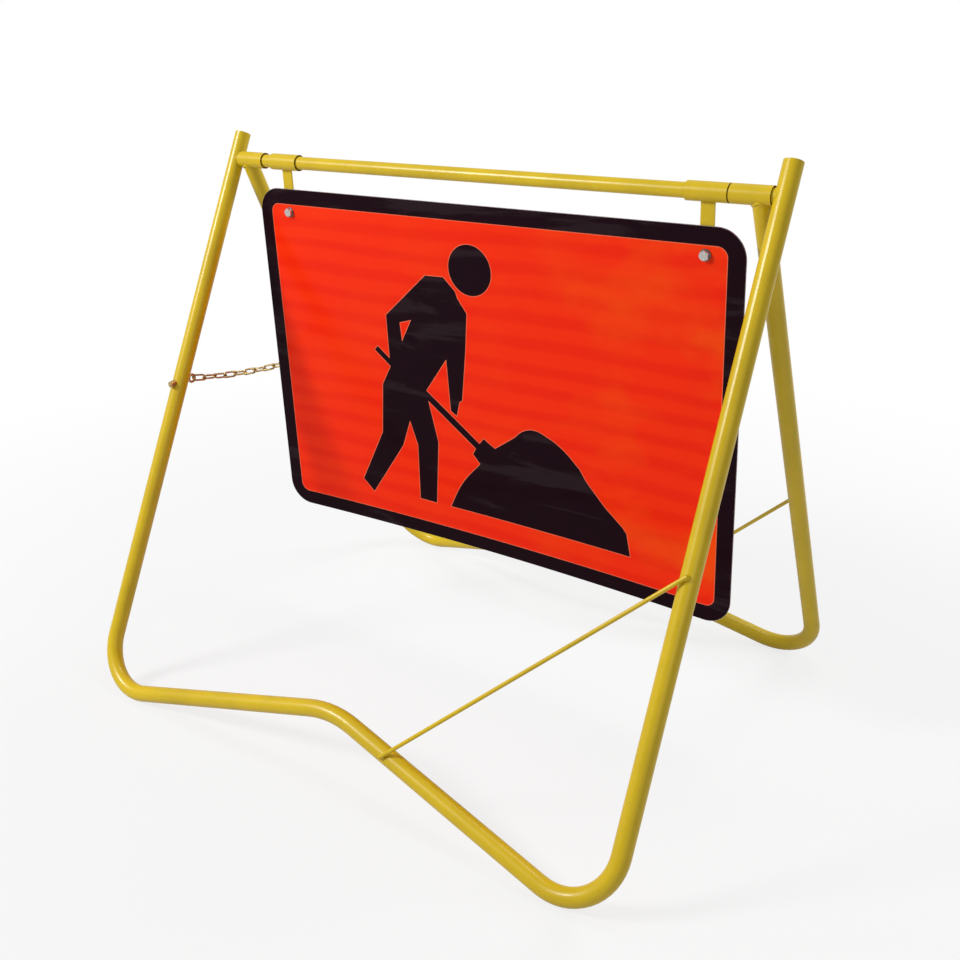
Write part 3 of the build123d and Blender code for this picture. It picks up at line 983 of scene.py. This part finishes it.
class SIGNFRAME_OT_frame(bpy.types.Operator):
    """Paints the frames, the crossbar, the sleeves, the straps and the rods, and adds their welds"""

    bl_idname = "signframe.frame"
    bl_label = "Frame"

    def execute(self, context):
        part = settings().frame
        paint = powder_coat()
        for node in PAINTED:
            frame["nodes"][node].material_slots[0].material = paint
        welds = []
        for label, side in (("left", -1), ("right", 1)):
            welds.append(("front", self.bar_bead(f"crossbar_weld_{label}", side)))
            welds.append(("rear", self.sleeve_bead(f"rear_leg_weld_{label}", side)))
        for label, x in BOLT_X.items():
            welds.append(("sign", self.strap_bead(f"strap_weld_{label}", x)))
        rods = (
            ("front", FRONT_LEG_X, part.front_rod_leg, part.front_rod_rail),
            ("rear", REAR_LEG_X, part.rear_rod_leg, part.rear_rod_rail),
        )
        for body, leg_x, leg_down, rail_x in rods:
            top, low = (leg_x, leg_down), (rail_x, rail_down(leg_x, rail_x))
            rear = body == "rear"
            blobs = [self.rod_weld(top, low, rear), self.rod_weld(low, top, rear)]
            welds.append((body, joined(blobs, f"{body}_rod_welds")))
        for body, weld in welds:
            hand_over(weld, body, "frame_paint", paint)
        return {"FINISHED"}

    def bar_bead(self, name, side):
        """The bead round the crossbar where it is coped to a front leg."""
        part = settings().frame
        count, sunk = 40, 0.2 * MM
        points = []
        for step in range(count):
            turn = 2 * pi * step / count
            y, z = BAR_RADIUS * sin(turn), BAR_RADIUS * cos(turn)
            off_leg = y * cos(part.lean) - z * sin(part.lean)
            x = FRONT_LEG_X - sqrt(TUBE_RADIUS**2 - off_leg**2) + sunk
            points.append(BAR + Vector((side * x, y, z)))
        return weld_bead(name, points, part.bar_bead)

    def sleeve_bead(self, name, side):
        """The bead round a rear leg's top where it is coped to its sleeve."""
        part = settings().frame
        count, lowered = 48, 0.3 * MM
        points = []
        for step in range(count):
            turn = 2 * pi * step / count
            across, off = TUBE_RADIUS * cos(turn), TUBE_RADIUS * sin(turn)
            down = hypot(across, part.bead_fillet) + lowered
            points.append(leaning(side * REAR_LEG_X + across, down, off, rear=True))
        return weld_bead(name, points, part.bead)

    def strap_bead(self, name, x):
        """A bead along the front of a strap where it meets its sleeve."""
        count, forward, radius = 10, 1.3 * MM, 1.1 * MM
        reach = 0.9 * STRAP_HALF_WIDTH
        points = [
            sign_point(x + reach * (2 * step / (count - 1) - 1), TUBE_RADIUS + WELD_LIFT, forward)
            for step in range(count)
        ]
        return weld_bead(name, points, radius, closed=False)

    def rod_weld(self, near, far, rear):
        """A blob of weld that holds a rod's end to its tube."""
        place = leaning(*near, TUBE_RADIUS + WELD_LIFT, rear)
        ahead = leaning(*far, TUBE_RADIUS + WELD_LIFT, rear)
        out = (leaning(*near, 1.0, rear) - leaning(*near, 0.0, rear)).normalized()
        along = (ahead - place).normalized()
        fresh()
        bpy.ops.mesh.primitive_uv_sphere_add(segments=24, ring_count=14, radius=1)
        blob = smooth(named("rod_weld"), 80)
        for point in blob.data.vertices:
            wobble = 1 + 0.1 * sin(5 * point.co.x + 2) * cos(4 * point.co.y)
            point.co = point.co * ROD_WELD * wobble
        return settle(blob, axes_at(place, along, out.cross(along), out))


class SIGNFRAME_OT_sleeves(bpy.types.Operator):
    """Makes the dark rings at the ends of the four sleeves, painted shade of the gap round the bar"""

    bl_idname = "signframe.sleeves"
    bl_label = "Sleeve Ends"

    def execute(self, context):
        sleeve = settings().sleeves
        gap_shade = gap_shade_and_rust()
        rear_x = sleeve_high.x - sleeve.rear_length / 2
        groups = (
            ("rear", (-rear_x, rear_x), sleeve.rear_length),
            ("hangers", BOLT_X.values(), sleeve.hanger_length),
        )
        for body, middles, length in groups:
            rings = [
                self.ring(BAR + Vector((x + side * length / 2, 0, 0)), (side, 0, 0))
                for x in middles
                for side in (-1, 1)
            ]
            hand_over(joined(rings, f"{body}_sleeve_end_shade"), body, "frame_paint", gap_shade)
        return {"FINISHED"}

    def ring(self, place, heading):
        """A thin ring let into a sleeve's end, carrying the painted shade of the gap."""
        sleeve = settings().sleeves
        inner = BAR_RADIUS + sleeve.clear
        outer = inner + sleeve.shade_ring
        low, high = -sleeve.sunk, sleeve.lift
        profile = ((inner, low), (inner, high), (outer, high), (outer, low), (inner, low))
        return lathe("ring", profile, place, heading)


# How many film thicknesses a face lies off the plate: the top films, and the painted highlight rims under
# them
TOP_FILM = 2.0
HIGHLIGHT_RIM_LIFT = 1.4


class SIGNFRAME_OT_sign(bpy.types.Operator):
    """Makes the bowed sign plate, its red film, its black border and the figure on it"""

    bl_idname = "signframe.sign"
    bl_label = "Sign"

    def execute(self, context):
        sign = settings().sign
        front = sign.forward + sign.thickness
        film_width = sign.width - 2 * sign.bare_edge
        film_height = sign.height - 2 * sign.bare_edge
        film_corner = sign.corner - sign.bare_edge
        field_width = film_width - 2 * sign.border
        field_height = film_height - 2 * sign.border
        under_border = 0.2 * MM
        black, pale = black_film(), rim_highlight_film()

        plate = rounded_sheet("sign_sheet", sign.width, sign.height, sign.corner)
        hang_sheet(plate, front, sign.thickness)
        hand_over(smooth(plate, 30), "sign", "sign_sheet", sheet_metal(), "sign_plate")
        self.blacken_edges(plate, black)

        red = rounded_sheet("red_film", film_width, film_height, film_corner)
        hang_sheet(red, front + sign.film, sign.film)
        hand_over(smooth(red, 30), "sign", "sign_sheet", red_film())

        outer = rounded_sheet("black_border", film_width, film_height, film_corner)
        window = rounded_sheet("window", field_width, field_height, sign.border_corner)
        border = self.border(outer, window)
        hand_over(self.laid_over(border, TOP_FILM), "sign", "sign_sheet", black)

        # A pale rim of painted highlight round the border's window
        line = rounded_sheet(
            "border_highlight_rim", field_width + under_border, field_height + under_border, sign.border_corner
        )
        line = self.laid_over(ring_only(line, sign.highlight_rim), HIGHLIGHT_RIM_LIFT)
        hand_over(line, "sign", "sign_sheet", pale)

        # The black figure, and a pale rim of painted highlight round it
        for name, grow, lift, material in (
            ("figure", 0.0, TOP_FILM, black),
            ("figure_highlight_rim", sign.highlight_rim, HIGHLIGHT_RIM_LIFT, pale),
        ):
            body = self.laid_over(flat_body(name, grow), lift)
            head = self.laid_over(flat_head(f"{name}_head", grow), lift)
            hand_over(joined([body, head], name), "sign", "sign_sheet", material)
        return {"FINISHED"}

    def laid_over(self, piece, lift):
        """Hangs a film over the red one, its face lifted by so many film thicknesses."""
        sign = settings().sign
        front = sign.forward + sign.thickness + lift * sign.film
        return smooth(hang_sheet(piece, front, (lift - 1) * sign.film), 30)

    def border(self, outer, window):
        """The black border: a rounded sheet with a rounded window cut out of it."""
        ring = joined([outer, window], "black_border")
        open_mesh(ring)
        bpy.ops.mesh.delete(type="ONLY_FACE")
        bpy.ops.mesh.select_all(action="SELECT")
        bpy.ops.mesh.bridge_edge_loops()
        close_mesh()
        return ring

    def blacken_edges(self, plate, black):
        """Gives the plate's narrow sides the black film's material, so that they show dark."""
        plate.data.materials.append(black)
        ahead = sign_point(0, 0, 1) - sign_point(0, 0, 0)
        for face in plate.data.polygons:
            face.material_index = 1 if abs(face.normal.dot(ahead)) < 0.5 else 0


class SIGNFRAME_OT_fixings(bpy.types.Operator):
    """Makes the sign's bolts, washers and lock nuts"""

    bl_idname = "signframe.fixings"
    bl_label = "Fixings"

    def execute(self, context):
        fixing, sign = settings().fixings, settings().sign
        zinc = plated_metal("bright_zinc", fixing.zinc, fixing.grey, 0.4, 0.7, 0.16)
        # The washers' metal is darkened as painted shade round the bolt heads
        dull = plated_metal("washer_shaded_zinc", fixing.washer_shade, fixing.washer_deep_shade, 0.35, 0.65, 0.3)
        head_chamfer = 1.5 * MM
        ahead = (sign_point(0, 0, 1) - sign_point(0, 0, 0)).normalized()
        bolts, washers, nuts, rings = [], [], [], []
        for x in BOLT_X.values():
            seat = sign_point(x, fixing.down, sign.forward + sign.thickness)
            back = sign_point(x, fixing.down, -sign.forward)
            top = seat + ahead * fixing.washer_thick
            washers.append(self.washer(seat, ahead))
            bolts.append(hexagon("head", fixing.flats, fixing.head, top, ahead, head_chamfer))
            bolts.append(self.stem(top, -ahead))
            nuts += self.lock_nut(back, -ahead)
            rings.append(self.nylon_ring(back, -ahead))
        hand_over(joined(bolts, "hex_bolts"), "sign", "bare_fixings", zinc, "sign_bolts")
        hand_over(joined(washers, "front_washers"), "sign", "bare_fixings", dull, "sign_front_washers")
        hand_over(joined(nuts, "lock_nuts"), "sign", "bare_fixings", zinc, "sign_lock_nuts")
        hand_over(joined(rings, "lock_nut_rings"), "sign", "bare_fixings", nylon())
        return {"FINISHED"}

    def washer(self, place, heading):
        """A flat washer with bevelled edges."""
        fixing = settings().fixings
        play = 0.4 * MM
        inner, outer = fixing.shank / 2 + play, fixing.washer / 2
        thick, edge = fixing.washer_thick, fixing.washer_edge
        profile = (
            (inner, 0), (inner, thick - edge), (inner + edge, thick), (outer - edge, thick),
            (outer, thick - edge), (outer, edge), (outer - edge, 0), (inner, 0),
        )
        return lathe("washer", profile, place, heading)

    def stem(self, place, heading):
        """The bolt's shank, threaded where it leaves the nut."""
        fixing, sign = settings().fixings, settings().sign
        pitch, depth, tip, clear = 1.25 * MM, 0.35 * MM, 0.7 * MM, 0.4 * MM
        radius, in_nut = fixing.shank / 2, 0.5 * MM
        behind_nut = fixing.washer_thick + sign.thickness + 2 * sign.forward + fixing.nut
        thread = threaded(
            radius, behind_nut - in_nut, behind_nut + fixing.beyond, pitch, depth, tip, clear
        )
        return lathe("stem", [(0, 0), (radius, 0), *thread], place, heading, 32)

    def lock_nut(self, place, heading):
        """A hexagon, and a rounded collar over its nylon ring."""
        fixing = settings().fixings
        hexagon_share, chamfer = 0.74, 0.8 * MM
        height, top = fixing.nut * hexagon_share, fixing.nut
        rim, bore = fixing.flats / 2 - 0.5 * MM, fixing.shank / 2 + 0.9 * MM
        profile = (
            (rim, height - 0.6 * MM), (rim, top - 1.1 * MM), (rim - 0.4 * MM, top - 0.35 * MM),
            (rim - 1.0 * MM, top), (bore, top), (bore, top - 0.9 * MM),
        )
        nut = hexagon("nut", fixing.flats, height, place, heading, chamfer)
        return nut, lathe("collar", profile, place, heading)

    def nylon_ring(self, place, heading):
        """The ring that grips the thread."""
        fixing = settings().fixings
        outer, inner = fixing.shank / 2 + 1.1 * MM, fixing.shank / 2 - 0.1 * MM
        low, high = fixing.nut - 1.6 * MM, fixing.nut - 0.5 * MM
        profile = ((inner, low), (outer, low), (outer, high), (inner, high), (inner, low))
        return lathe("nylon_ring", profile, place, heading)


# How finely the chain's wire is drawn
WIRE_SIDES = 14
HALF_TURN_STEPS = 12


class SIGNFRAME_OT_chain(bpy.types.Operator):
    """Makes the restraint chain, its eye bolt with washer and nut, and its hook"""

    bl_idname = "signframe.chain"
    bl_label = "Chain"

    def execute(self, context):
        chain = settings().chain
        zinc = plated_metal("yellow_zinc", chain.yellow, chain.brown, 0.42, 0.66, 0.3)
        pattern = self.link()
        links = []
        for index in range(chain.links):
            link = pattern.copy()
            link.data = pattern.data.copy()
            bpy.context.scene.collection.objects.link(link)
            links.append(settle(link, link_place(index)))
        bpy.data.objects.remove(pattern)
        hand_over(joined(links, "chain_run"), "chain", "chain_zinc", zinc, "chain_links")
        hand_over(self.hook(), "chain", "chain_zinc", zinc, "chain_hook")
        hand_over(self.eye_bolt(), "front", "bare_fixings", zinc, "chain_eye_bolt")
        seat = EYE - Vector((0, chain.stand_off + chain.nut_seat, 0))
        nut = hexagon("eye_nut", chain.nut_flats, chain.nut, seat, (0, -1, 0), 0.6 * MM)
        hand_over(nut, "front", "bare_fixings", zinc, "chain_eye_nut")
        frame["nodes"]["chain_saddle_washer"].material_slots[0].material = zinc
        return {"FINISHED"}

    def link(self):
        """One link: two runs and two half turns."""
        chain = settings().chain
        bend = (chain.inner_width + chain.wire) / 2
        half = (chain.inner_length + chain.wire) / 2 - bend
        steps = (
            Vector((2 * half, 0, 0)),
            (Vector((half, 0, 0)), (0, 0, 1), pi, HALF_TURN_STEPS),
            Vector((-2 * half, 0, 0)),
            (Vector((-half, 0, 0)), (0, 0, 1), pi, HALF_TURN_STEPS),
        )
        start = (-half, -bend, 0)
        return drawn_wire("link_pattern", chain.wire / 2, WIRE_SIDES, start, (1, 0, 0), steps, closed=True)

    def hook(self):
        """The hook: round the last link, along, and a tip that points at the rear leg."""
        chain = settings().chain
        last = chain.links - 1
        length = chain.inner_length + chain.wire
        place = chain_line(length + last * (chain.inner_length - chain.play))
        arm = Vector(chain.end) - place
        along = arm.normalized()
        turn = link_turn(last)
        side = Vector((abs(sin(turn)), 0, -copysign(cos(turn), sin(turn))))
        normal = along.cross(side).normalized()
        run = arm.length - chain.hook_corner
        steps = (
            Vector((-chain.hook_nose, 0, 0)),
            (Vector((0, 0, 0)), (0, 0, 1), pi, HALF_TURN_STEPS),
            Vector((run, 0, 0)),
            (Vector((run, chain.hook_corner - chain.hook_bend, 0)), (0, 0, 1), pi / 2, 8),
            Vector((0, chain.hook_tip - chain.hook_corner + chain.hook_bend, 0)),
        )
        start = (chain.hook_nose, chain.hook_bend, 0)
        hook = drawn_wire("open_hook", chain.wire / 2, WIRE_SIDES, start, (-1, 0, 0), steps)
        return settle(hook, axes_at(place, along, normal.cross(along), normal))

    def eye_bolt(self):
        """A ring on a shank that is threaded where it leaves the nut."""
        chain = settings().chain
        fresh()
        bpy.ops.mesh.primitive_torus_add(
            location=EYE,
            rotation=(0, pi / 2, 0),
            major_segments=48,
            minor_segments=18,
            major_radius=chain.ring,
            minor_radius=chain.ring_wire / 2,
        )
        ring = smooth(settle(named("eye_ring")), 60)
        radius = chain.shank / 2
        start, neck = chain.ring - 1.2 * MM, 3 * MM
        nut = chain.stand_off + chain.nut_seat
        pitch, depth, tip, clear = 1.0 * MM, 0.3 * MM, 0.5 * MM, 0.6 * MM
        profile = [
            (0, start),
            (chain.ring_wire / 2, start),
            (radius, start + neck),
            *threaded(radius, nut - 2 * MM, nut + chain.nut + chain.thread, pitch, depth, tip, clear),
        ]
        shank = lathe("eye_shank", profile, EYE, (0, -1, 0), 32)
        return joined([ring, shank], "eye_bolt")


class SIGNFRAME_PT_panel(bpy.types.Panel):
    """Sizes, colours and pieces of the sign frame"""

    bl_idname = "SIGNFRAME_PT_panel"
    bl_label = "Sign Frame"
    bl_space_type = "VIEW_3D"
    bl_region_type = "UI"
    bl_category = "Sign Frame"

    def draw(self, context):
        values = settings()
        for group in PIECES:
            box = self.layout.box()
            part = getattr(values, group)
            for key in part.bl_rna.properties.keys():
                if key not in ("rna_type", "name"):
                    box.prop(part, key)
            box.operator(f"signframe.{group}")


class SignFrameSettings(bpy.types.PropertyGroup):
    stage: PointerProperty(type=StageSettings)
    frame: PointerProperty(type=FrameSettings)
    sleeves: PointerProperty(type=SleeveSettings)
    sign: PointerProperty(type=SignSettings)
    fixings: PointerProperty(type=FixingSettings)
    chain: PointerProperty(type=ChainSettings)


PIECES = ("stage", "frame", "sleeves", "sign", "fixings", "chain")

CLASSES = (
    StageSettings,
    FrameSettings,
    SleeveSettings,
    SignSettings,
    FixingSettings,
    ChainSettings,
    SignFrameSettings,
    SIGNFRAME_OT_stage,
    SIGNFRAME_OT_frame,
    SIGNFRAME_OT_sleeves,
    SIGNFRAME_OT_sign,
    SIGNFRAME_OT_fixings,
    SIGNFRAME_OT_chain,
    SIGNFRAME_PT_panel,
)


def register():
    for item in CLASSES:
        bpy.utils.register_class(item)
    bpy.types.Scene.sign_frame = PointerProperty(type=SignFrameSettings)


def unregister():
    del bpy.types.Scene.sign_frame
    for item in reversed(CLASSES):
        bpy.utils.unregister_class(item)


def main():
    register()
    bpy.ops.signframe.stage()
    bpy.ops.signframe.frame()
    bpy.ops.signframe.sleeves()
    bpy.ops.signframe.sign()
    bpy.ops.signframe.fixings()
    bpy.ops.signframe.chain()
    bpy.context.view_layer.update()


if __name__ == "__main__":
    main()
